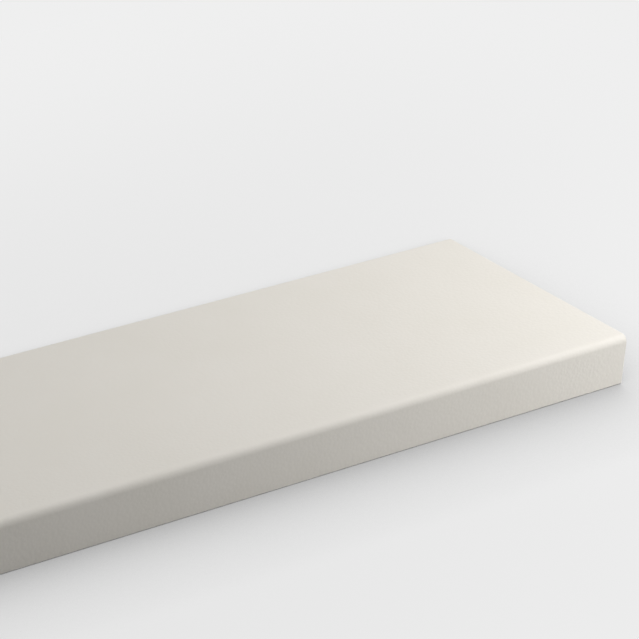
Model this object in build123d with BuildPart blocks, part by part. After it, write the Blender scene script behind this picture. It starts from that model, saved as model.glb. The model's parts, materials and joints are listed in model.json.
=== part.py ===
# Smooth rubber stair tread with a square nosing, lying top side up on a level floor.
#
# The real tread is moulded in one piece of solid rubber. Its section is a flat leaf, which thins towards
# the back, and a nosing, which hangs down from the leaf's front edge and thins towards its foot. The ends
# are cut square.
#
# X runs along the tread, +Y points to its back and +Z is up. Laid down loose, the tread touches the floor
# on two lines: the foot of the nosing and the back edge. The origin is on the floor, in the middle of its
# outline.

from build123d import *

import os
from math import atan2, degrees

# Driving dimensions, in millimetres
tread_length = 914.0  # between the two cut ends
tread_depth = 254.0  # front of the nosing to the back edge
nosing_drop = 47.6  # top of the leaf to the foot of the nosing
front_gauge = 6.4  # thickness of the leaf at the nosing
back_gauge = 3.2  # thickness of the leaf at the back edge
nosing_gauge = 6.4  # thickness of the nosing at the top
foot_gauge = 3.8  # thickness of the nosing at its foot
nosing_radius = 6.4  # outside round from the top into the front
inside_radius = 1.2  # fillet in the corner between the leaf and the nosing
foot_radius = 0.8  # eased outer edge of the foot
back_radius = 0.8  # eased top edge at the back

# The section, drawn with the leaf level: its underside is the X axis, with the nosing below it. The inner
# face of the nosing is upright, and the outer one slopes in towards the foot.
foot_level = front_gauge - nosing_drop
corners = [
    ((0, front_gauge), nosing_radius),
    ((nosing_gauge - foot_gauge, foot_level), foot_radius),
    ((nosing_gauge, foot_level), 0),
    ((nosing_gauge, 0), inside_radius),
    ((tread_depth, 0), 0),
    ((tread_depth, back_gauge), back_radius),
]

with BuildSketch() as section:
    with BuildLine():
        FilletPolyline(
            [point for point, radius in corners],
            radius=[radius for point, radius in corners],
            close=True,
        )
    make_face()

# Laid down, the section turns until the inner edge of the foot and the back edge are both on the floor.
rest_tilt = degrees(atan2(-foot_level, tread_depth - nosing_gauge))
outline = section.sketch.rotate(Axis.Z, -rest_tilt).bounding_box()
rest_plane = Plane(
    origin=(0, -outline.center().X, -outline.min.Y),
    x_dir=Plane.YZ.x_dir.rotate(Axis.X, -rest_tilt),
    z_dir=Plane.YZ.z_dir,
)

with BuildPart() as stair_tread:
    with BuildSketch(rest_plane):
        add(section.sketch)
    extrude(amount=tread_length / 2, both=True)

stair_tread.part.label = "stair_tread"

os.makedirs("parts", exist_ok=True)
export_step(stair_tread.part, "parts/stair_tread.step")
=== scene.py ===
import json
from math import radians, tan

import bmesh
import bpy
from mathutils import Matrix, Vector


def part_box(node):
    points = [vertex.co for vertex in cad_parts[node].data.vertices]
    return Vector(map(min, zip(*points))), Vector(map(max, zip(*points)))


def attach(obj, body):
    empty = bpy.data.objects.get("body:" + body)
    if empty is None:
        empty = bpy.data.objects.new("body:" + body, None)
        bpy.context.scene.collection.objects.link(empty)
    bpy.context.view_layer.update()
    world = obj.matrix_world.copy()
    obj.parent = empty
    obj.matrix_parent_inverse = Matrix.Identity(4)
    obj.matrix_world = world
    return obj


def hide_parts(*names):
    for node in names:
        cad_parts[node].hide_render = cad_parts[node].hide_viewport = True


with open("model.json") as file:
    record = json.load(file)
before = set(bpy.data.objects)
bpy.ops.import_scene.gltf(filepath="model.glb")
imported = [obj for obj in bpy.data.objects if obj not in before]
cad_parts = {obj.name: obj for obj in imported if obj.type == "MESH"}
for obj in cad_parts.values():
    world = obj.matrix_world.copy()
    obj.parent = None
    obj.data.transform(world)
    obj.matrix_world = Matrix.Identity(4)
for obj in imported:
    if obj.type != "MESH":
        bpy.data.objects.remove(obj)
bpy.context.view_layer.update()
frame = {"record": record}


# The stair tread
# One piece of rubber, moulded flat in a heated press: a leaf that thins to the back, and a nosing that
# rolls down from its front. The ends are cut square with a knife, and the two inner faces, where the
# glue goes, are sanded.
MM = 0.001
tread_depth = 254 * MM  # from the nosing's front to the back edge
front_gauge = 6.4 * MM  # the leaf at the nosing
back_gauge = 3.2 * MM  # the leaf at the back edge
nosing_gauge = 6.4 * MM  # the nosing under the roll
nosing_drop = 47.6 * MM  # from the leaf's top to the foot
foot_gauge = 3.8 * MM  # the nosing at its foot
nosing_radius = 6.4 * MM
foot_radius = 0.8 * MM
inside_radius = 1.2 * MM
back_radius = 0.8 * MM
trimmed_edge = 0.3 * MM  # the edges that a mould's parting line or a knife leaves
cut_edge = 0.25 * MM  # the outline of each cut end

lowest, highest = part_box("stair_tread")
tread_length = highest.x - lowest.x
foot_level = front_gauge - nosing_drop

# The outline of the section, from the nosing's top round to the back edge's top. Depths are from the
# nosing's front and heights from the leaf's underside.
section = [
    # depth, height, rounding, segments
    (0, front_gauge, nosing_radius, 20),
    (nosing_gauge - foot_gauge, foot_level, foot_radius, 6),
    (nosing_gauge, foot_level, trimmed_edge, 3),
    (nosing_gauge, 0, inside_radius, 8),
    (tread_depth, 0, trimmed_edge, 3),
    (tread_depth, back_gauge, back_radius, 6),
]

tread = bmesh.new()
outline = tread.faces.new([tread.verts.new((lowest.x, depth, height)) for depth, height, _, _ in section])
drawn = bmesh.ops.extrude_face_region(tread, geom=[outline])["geom"]
drawn_verts = [item for item in drawn if isinstance(item, bmesh.types.BMVert)]
bmesh.ops.translate(tread, vec=(tread_length, 0, 0), verts=drawn_verts)
bmesh.ops.recalc_face_normals(tread, faces=tread.faces)

# The ends are cut, and the two faces that meet in the inside corner are sanded.
MOULDED, CUT, SANDED = range(3)
inside_edge = Vector((nosing_gauge, 0))
for face in tread.faces:
    if abs(face.normal.x) > 0.5:
        face.material_index = CUT
    elif any((vert.co.yz - inside_edge).length < inside_radius for vert in face.verts):
        face.material_index = SANDED

for depth, height, rounding, segments in section:
    edge = min(
        (e for e in tread.edges if e.calc_length() > tread_length / 2),
        key=lambda e: (e.verts[0].co.yz - Vector((depth, height))).length,
    )
    bmesh.ops.bevel(
        tread,
        geom=[edge],
        offset=rounding * tan(edge.calc_face_angle() / 2),
        affect="EDGES",
        segments=segments,
        profile=0.5,
        material=-1,
    )

ends = [face for face in tread.faces if abs(face.normal.x) > 0.5]
bmesh.ops.bevel(
    tread,
    geom=[edge for face in ends for edge in face.edges],
    offset=cut_edge,
    affect="EDGES",
    segments=2,
    profile=0.5,
    material=-1,
)

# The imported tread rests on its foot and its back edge. The record's two glued faces say how it leans:
# laid takes the tread from level, as it is drawn and glued down, to its place in the row.
mounts = {mount["name"]: mount for mount in frame["record"]["mounts"]}
underside, nosing_back = mounts["underside"], mounts["nosing_back"]
up, back = -Vector(underside["axis"]), Vector(nosing_back["axis"])
on_underside = Vector(underside["pos_m"])
to_nosing = (Vector(nosing_back["pos_m"]) - on_underside).dot(back)
inside_corner = on_underside + back * to_nosing
inside_corner.x = 0
laid = Matrix.Translation(inside_corner - back * nosing_gauge) @ Matrix(
    ((1, back.x, up.x, 0), (0, back.y, up.y, 0), (0, back.z, up.z, 0), (0, 0, 0, 1))
)
bmesh.ops.transform(tread, matrix=laid, verts=tread.verts)
bmesh.ops.recalc_face_normals(tread, faces=tread.faces)

tread_mesh = bpy.data.meshes.new("tread_moulding")
tread.to_mesh(tread_mesh)
tread.free()
tread_mesh.shade_smooth()
tread_moulding = bpy.data.objects.new("tread_moulding", tread_mesh)
bpy.context.collection.objects.link(tread_moulding)

# The flat faces keep their own normals, so that only the rounded edges shade as curves.
flat_faces = tread_moulding.modifiers.new("flat_faces", "WEIGHTED_NORMAL")
flat_faces.mode = "FACE_AREA"
flat_faces.weight = 100


def linear(hex_colour):
    """The linear colour, with alpha, of an sRGB hex value such as "#DEDAD1"."""
    parts = [int(hex_colour[i : i + 2], 16) / 255 for i in (1, 3, 5)]
    return (*(c / 12.92 if c <= 0.04045 else ((c + 0.055) / 1.055) ** 2.4 for c in parts), 1)


def empty_tree(owner):
    """The node tree of a material or a world, emptied."""
    owner.use_nodes = True
    owner.node_tree.nodes.clear()
    return owner.node_tree


def add_node(tree, kind, inputs, **settings):
    """Adds a node with its settings. An input takes a value, or another node's output to link to."""
    node = tree.nodes.new(kind)
    for name, value in settings.items():
        setattr(node, name, value)
    for name, value in inputs.items():
        if isinstance(value, bpy.types.NodeSocket):
            tree.links.new(value, node.inputs[name])
        else:
            node.inputs[name].default_value = value
    return node


# Moulded rubber. The press plate's fine pebble grain leaves it satin: no sharp reflection, a soft
# sheen at a low angle, and a compound that isn't quite even in tone.
rubber_ior = 1.52
grain_size = 3.0 * MM  # about 1 mm on the plate, drawn three times as coarse to show in the render
grain_height = 0.08 * MM
grain_edge = 0.7  # from the middle of a pebble to its edge, in grain sizes
pebble_roughness, gap_roughness = 0.64, 0.76
cloud_size = 70 * MM  # the compound's uneven tone
swell_size = 90 * MM  # the leaf is flat to about a tenth of a millimetre over a hand's width
swell_height = 0.15 * MM
moulded_rubber = bpy.data.materials.new("moulded_rubber")
nodes = empty_tree(moulded_rubber)
place = add_node(nodes, "ShaderNodeTexCoord", {}).outputs["Object"]
clouds = add_node(nodes, "ShaderNodeTexNoise", {"Vector": place, "Scale": 1 / cloud_size, "Detail": 3})
swell = add_node(nodes, "ShaderNodeTexNoise", {"Vector": place, "Scale": 1 / swell_size, "Detail": 1})
pebbles = add_node(
    nodes,
    "ShaderNodeTexVoronoi",
    {"Vector": place, "Scale": 1 / grain_size, "Smoothness": 0.5},
    feature="SMOOTH_F1",
)
tone = add_node(
    nodes,
    "ShaderNodeMix",
    {"Factor": clouds.outputs["Fac"], "A": linear("#DBD7CE"), "B": linear("#E0DCD5")},
    data_type="RGBA",
)
satin = add_node(
    nodes,
    "ShaderNodeMapRange",
    {
        "Value": pebbles.outputs["Distance"],
        "From Max": grain_edge,
        "To Min": pebble_roughness,
        "To Max": gap_roughness,
    },
)
swelling = add_node(nodes, "ShaderNodeBump", {"Height": swell.outputs["Fac"], "Distance": swell_height})
grained = add_node(
    nodes,
    "ShaderNodeBump",
    {
        "Height": pebbles.outputs["Distance"],
        "Distance": grain_height,
        "Normal": swelling.outputs["Normal"],
    },
    invert=True,
)
skin = add_node(
    nodes,
    "ShaderNodeBsdfPrincipled",
    {
        "Base Color": tone.outputs["Result"],
        "Roughness": satin.outputs["Result"],
        "IOR": rubber_ior,
        "Normal": grained.outputs["Normal"],
    },
)
add_node(nodes, "ShaderNodeOutputMaterial", {"Surface": skin.outputs["BSDF"]})

# Knife-cut rubber. The cut has no moulded skin: it is matt and a little darker, with the fine lines
# that the blade drags down through the thickness.
cut_roughness = 0.75
drag_width = 0.8 * MM  # about 0.2 mm on the cut, drawn coarser to show in the render
drag_length = 12 * MM
drag_height = 0.05 * MM
cut_rubber = bpy.data.materials.new("knife_cut_rubber")
nodes = empty_tree(cut_rubber)
place = add_node(nodes, "ShaderNodeTexCoord", {}).outputs["Object"]
along_cut = add_node(
    nodes,
    "ShaderNodeMapping",
    {"Vector": place, "Scale": (1 / drag_width, 1 / drag_width, 1 / drag_length)},
    vector_type="POINT",
)
drag = add_node(
    nodes, "ShaderNodeTexNoise", {"Vector": along_cut.outputs["Vector"], "Scale": 1, "Detail": 2}
)
tone = add_node(
    nodes,
    "ShaderNodeMix",
    {"Factor": drag.outputs["Fac"], "A": linear("#CDC8BC"), "B": linear("#DAD6CB")},
    data_type="RGBA",
)
dragged = add_node(nodes, "ShaderNodeBump", {"Height": drag.outputs["Fac"], "Distance": drag_height})
cut_face = add_node(
    nodes,
    "ShaderNodeBsdfPrincipled",
    {
        "Base Color": tone.outputs["Result"],
        "Roughness": cut_roughness,
        "IOR": rubber_ior,
        "Normal": dragged.outputs["Normal"],
    },
)
add_node(nodes, "ShaderNodeOutputMaterial", {"Surface": cut_face.outputs["BSDF"]})

# Sanded rubber. A belt takes the skin off the faces that are glued, and leaves them dead matt, pale
# with dust and scored along the length.
sanded_roughness = 0.9
score_width = 1.0 * MM  # about 0.1 mm from the belt's grit, drawn coarser to show in the render
score_length = 160 * MM
score_height = 0.06 * MM
sanded_rubber = bpy.data.materials.new("sanded_rubber")
nodes = empty_tree(sanded_rubber)
place = add_node(nodes, "ShaderNodeTexCoord", {}).outputs["Object"]
along_belt = add_node(
    nodes,
    "ShaderNodeMapping",
    {"Vector": place, "Scale": (1 / score_length, 1 / score_width, 1 / score_width)},
    vector_type="POINT",
)
score = add_node(
    nodes, "ShaderNodeTexNoise", {"Vector": along_belt.outputs["Vector"], "Scale": 1, "Detail": 3}
)
tone = add_node(
    nodes,
    "ShaderNodeMix",
    {"Factor": score.outputs["Fac"], "A": linear("#D2CEC4"), "B": linear("#E2DFD8")},
    data_type="RGBA",
)
scored = add_node(nodes, "ShaderNodeBump", {"Height": score.outputs["Fac"], "Distance": score_height})
sanded_face = add_node(
    nodes,
    "ShaderNodeBsdfPrincipled",
    {
        "Base Color": tone.outputs["Result"],
        "Roughness": sanded_roughness,
        "IOR": rubber_ior,
        "Normal": scored.outputs["Normal"],
    },
)
add_node(nodes, "ShaderNodeOutputMaterial", {"Surface": sanded_face.outputs["BSDF"]})

# In the order of MOULDED, CUT and SANDED.
for finish in (moulded_rubber, cut_rubber, sanded_rubber):
    tread_mesh.materials.append(finish)

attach(tread_moulding, "root")
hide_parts("stair_tread")


# The floor
# A flat studio floor under the tread, painted pale and matt. It runs far past the tread on all sides,
# so that it meets the backdrop out of sight.
floor_reach = 10  # metres, each way
backdrop_grey = linear("#EFEFEF")
floor = bmesh.new()
bmesh.ops.create_grid(floor, x_segments=1, y_segments=1, size=floor_reach)
floor_mesh = bpy.data.meshes.new("floor")
floor.to_mesh(floor_mesh)
floor.free()
floor_plane = bpy.data.objects.new("floor", floor_mesh)
bpy.context.collection.objects.link(floor_plane)


def seen_rays(tree):
    """1 on rays that look, straight, in a gloss or through glass, and 0 on rays that gather light."""
    ray = add_node(tree, "ShaderNodeLightPath", {}).outputs
    camera_or_gloss = add_node(
        tree, "ShaderNodeMath", {0: ray["Is Camera Ray"], 1: ray["Is Glossy Ray"]}, operation="MAXIMUM"
    )
    seen = add_node(
        tree,
        "ShaderNodeMath",
        {0: camera_or_gloss.outputs["Value"], 1: ray["Is Transmission Ray"]},
        operation="MAXIMUM",
    )
    return seen.outputs["Value"]


# Painted floor. Matt and pale, it throws light back on the nosing. What is seen of it is mostly the
# backdrop's grey, with a soft shadow where the tread hides the backdrop from it. The lamps and their
# shadows show in the rest, less and less with distance.
pale_near, pale_far = 0.8, 1  # the backdrop's share of what is seen, by the tread and far from it
fade_reach = 0.5  # metres, from the tread's outline
shadow_reach = 0.1  # metres, the farthest that the tread hides the backdrop from the floor
painted_floor = bpy.data.materials.new("painted_floor")
nodes = empty_tree(painted_floor)
place = add_node(nodes, "ShaderNodeTexCoord", {}).outputs["Object"]
folded = add_node(nodes, "ShaderNodeVectorMath", {0: place}, operation="ABSOLUTE")
past_tread = add_node(
    nodes,
    "ShaderNodeVectorMath",
    {0: folded.outputs["Vector"], 1: (highest.x, highest.y, 0)},
    operation="SUBTRACT",
)
outside = add_node(nodes, "ShaderNodeVectorMath", {0: past_tread.outputs["Vector"]}, operation="MAXIMUM")
distance = add_node(nodes, "ShaderNodeVectorMath", {0: outside.outputs["Vector"]}, operation="LENGTH")
paleness = add_node(
    nodes,
    "ShaderNodeMapRange",
    {
        "Value": distance.outputs["Value"],
        "From Max": fade_reach,
        "To Min": pale_near,
        "To Max": pale_far,
    },
    interpolation_type="SMOOTHSTEP",
)
pale_seen = add_node(
    nodes, "ShaderNodeMath", {0: seen_rays(nodes), 1: paleness.outputs["Result"]}, operation="MULTIPLY"
)
paint = add_node(nodes, "ShaderNodeBsdfDiffuse", {"Color": linear("#CFCFCF")})
shaded = add_node(
    nodes,
    "ShaderNodeAmbientOcclusion",
    {"Color": backdrop_grey, "Distance": shadow_reach},
    samples=8,
)
pale = add_node(nodes, "ShaderNodeEmission", {"Color": shaded.outputs["Color"]})
floor_look = add_node(
    nodes,
    "ShaderNodeMixShader",
    {0: pale_seen.outputs["Value"], 1: paint.outputs["BSDF"], 2: pale.outputs["Emission"]},
)
add_node(nodes, "ShaderNodeOutputMaterial", {"Surface": floor_look.outputs["Shader"]})
floor_mesh.materials.append(painted_floor)


# The studio
# A pale backdrop all round, which the camera and the rubber's sheen see, a dim even fill and three soft
# boxes: one in front of the nosing's right end, a large one high behind it and one past the left end.
fill_strength = 0.12
studio = bpy.data.worlds.new("studio")
bpy.context.scene.world = studio
nodes = empty_tree(studio)
backdrop = add_node(nodes, "ShaderNodeBackground", {"Color": backdrop_grey})
fill = add_node(nodes, "ShaderNodeBackground", {"Color": backdrop_grey, "Strength": fill_strength})
surround = add_node(
    nodes,
    "ShaderNodeMixShader",
    {0: seen_rays(nodes), 1: fill.outputs["Background"], 2: backdrop.outputs["Background"]},
)
add_node(nodes, "ShaderNodeOutputWorld", {"Surface": surround.outputs["Shader"]})

# Places and aims are in metres from the nosing's right front corner, with the tread level.
right_corner = laid @ Matrix.Translation((highest.x, 0, 0))
for name, width, power, place, aim in (
    ("nosing_soft_box", 0.9, 17.0, Vector((0.7, -0.41, 0.58)), Vector((-0.1, 0.1, 0))),
    ("back_soft_box", 1.4, 9.7, Vector((0.1, 0.7, 1.4)), Vector((-0.1, 0.1, 0))),
    ("left_soft_box", 0.8, 4.1, Vector((-1.5, 0.25, 0.6)), Vector((-0.9, 0.1, 0))),
):
    lamp = bpy.data.lights.new(name, "AREA")
    lamp.size = width
    lamp.energy = power
    soft_box = bpy.data.objects.new(name, lamp)
    aimed = (aim - place).to_track_quat("-Z", "Y").to_matrix().to_4x4()
    soft_box.matrix_world = right_corner @ Matrix.Translation(place) @ aimed
    soft_box.visible_camera = False
    bpy.context.collection.objects.link(soft_box)


# The camera
# A long lens in front of the nosing, which looks down on the tread's right end from the left of it.
# It leans as the tread does, so that the tread looks level.
lens = bpy.data.cameras.new("camera")
lens.lens = 174.43
lens.clip_end = 50
picture_middle = Vector((-203.6 * MM, 179.2 * MM, 0))
camera_distance = 2737.4 * MM
turn, look_down, lean = radians(36.361), radians(25.346), radians(2.131)
camera = bpy.data.objects.new("camera", lens)
camera.matrix_world = (
    right_corner
    @ Matrix.Translation(picture_middle)
    @ Matrix.Rotation(-turn, 4, "Z")
    @ Matrix.Rotation(radians(90) - look_down, 4, "X")
    @ Matrix.Rotation(lean, 4, "Z")
    @ Matrix.Translation((0, 0, camera_distance))
)
bpy.context.collection.objects.link(camera)
bpy.context.scene.camera = camera
bpy.context.scene.view_settings.view_transform = "Standard"
